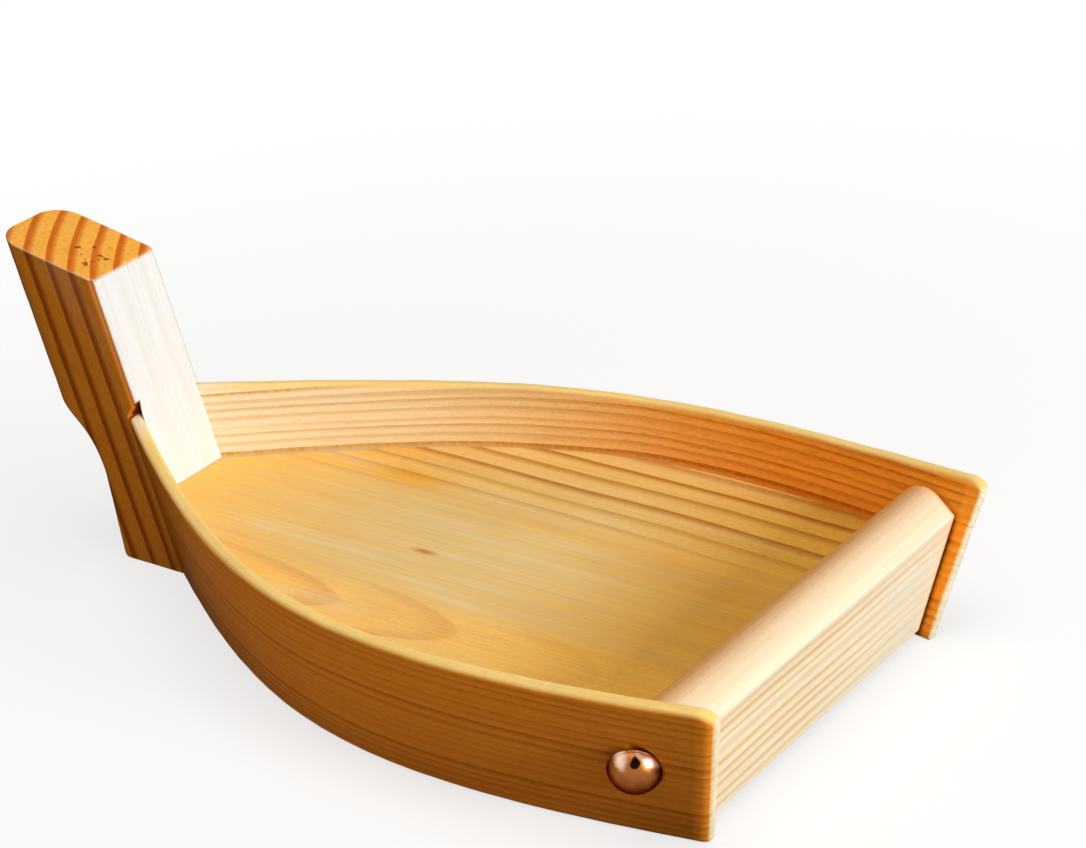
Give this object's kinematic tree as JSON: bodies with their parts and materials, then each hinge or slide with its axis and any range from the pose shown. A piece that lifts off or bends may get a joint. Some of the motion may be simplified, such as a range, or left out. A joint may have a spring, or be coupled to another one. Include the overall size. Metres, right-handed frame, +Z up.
{
  "type": "sushi boat",
  "caption": "Wooden sushi boat tray: bent, flared side planks let into a raked stem post, a raised floor board, a thick raked transom and copper dome nails.",
  "frame": {"origin": "bottom centre of the boat's bounding box, on the surface it stands on", "axes": "+X aft along the centreline towards the transom, +Y to starboard, +Z up"},
  "size_m": [0.3016, 0.165, 0.1052],
  "materials": {
    "stem_wood": "clear satin lacquer on straight-grained softwood",
    "plank_wood": "clear satin lacquer on straight-grained softwood",
    "floor_wood": "clear satin lacquer on flat-sawn softwood",
    "transom_wood": "clear satin lacquer on softwood",
    "copper": "polished copper dome, slightly tarnished"
  },
  "bodies": {
    "root": {"stem_post": "stem_wood", "port_plank": "plank_wood", "starboard_plank": "plank_wood", "floor_board": "floor_wood", "transom": "transom_wood", "port_stern_nail": "copper", "starboard_stern_nail": "copper"}
  },
  "joints": []
}
